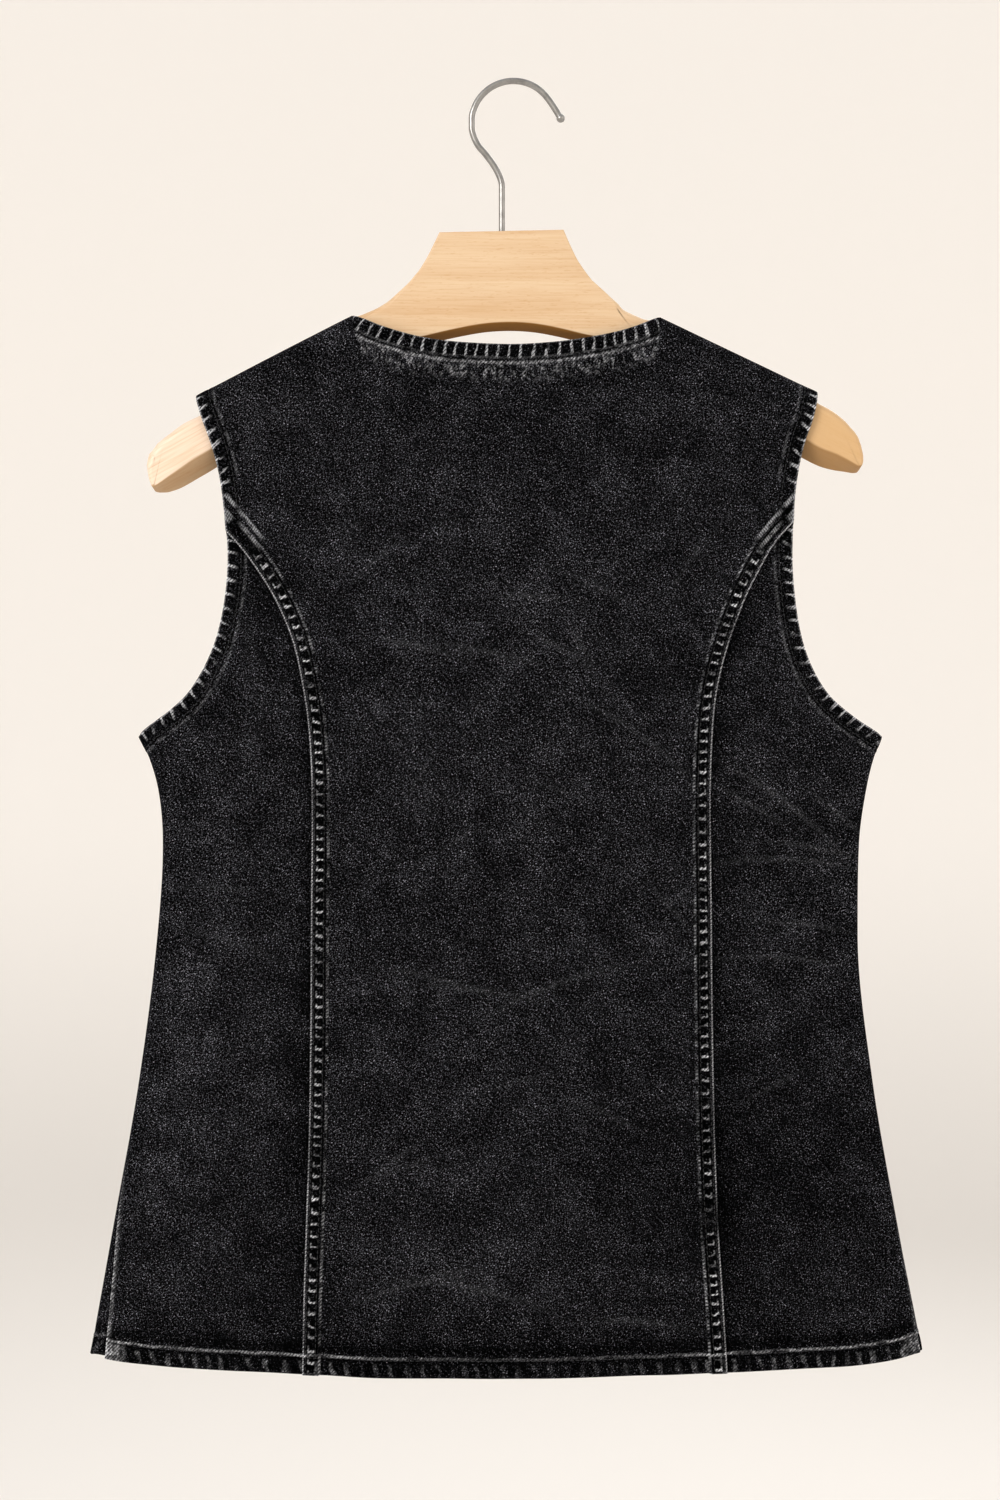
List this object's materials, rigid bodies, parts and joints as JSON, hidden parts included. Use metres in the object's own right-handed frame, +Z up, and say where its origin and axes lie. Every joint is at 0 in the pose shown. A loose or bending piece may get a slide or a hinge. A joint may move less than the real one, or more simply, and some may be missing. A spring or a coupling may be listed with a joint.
{
  "type": "denim vest on hanger",
  "caption": "Sleeveless denim vest with curved princess seams and a buttoned V front, hanging flat on a wooden hanger with a steel hook.",
  "frame": {"origin": "the highest point inside the hook, where a rail carries it, in the hanger's middle plane", "axes": "+Z up, +X the wearer's right, -Y the back of the vest and +Y its buttoned front"},
  "size_m": [0.5192, 0.0471, 0.8068],
  "materials": {
    "denim": "washed black twill, matte",
    "button_metal": "dark satin",
    "wood": "light beech, satin lacquer",
    "hook_steel": "satin"
  },
  "bodies": {
    "root": {"centre_back": "denim", "side_back_left": "denim", "side_back_right": "denim", "front_left": "denim", "front_right": "denim", "button_1": "button_metal", "button_2": "button_metal", "button_3": "button_metal", "button_4": "button_metal", "button_5": "button_metal", "hanger_body": "wood", "hanger_hook": "hook_steel"}
  },
  "joints": []
}
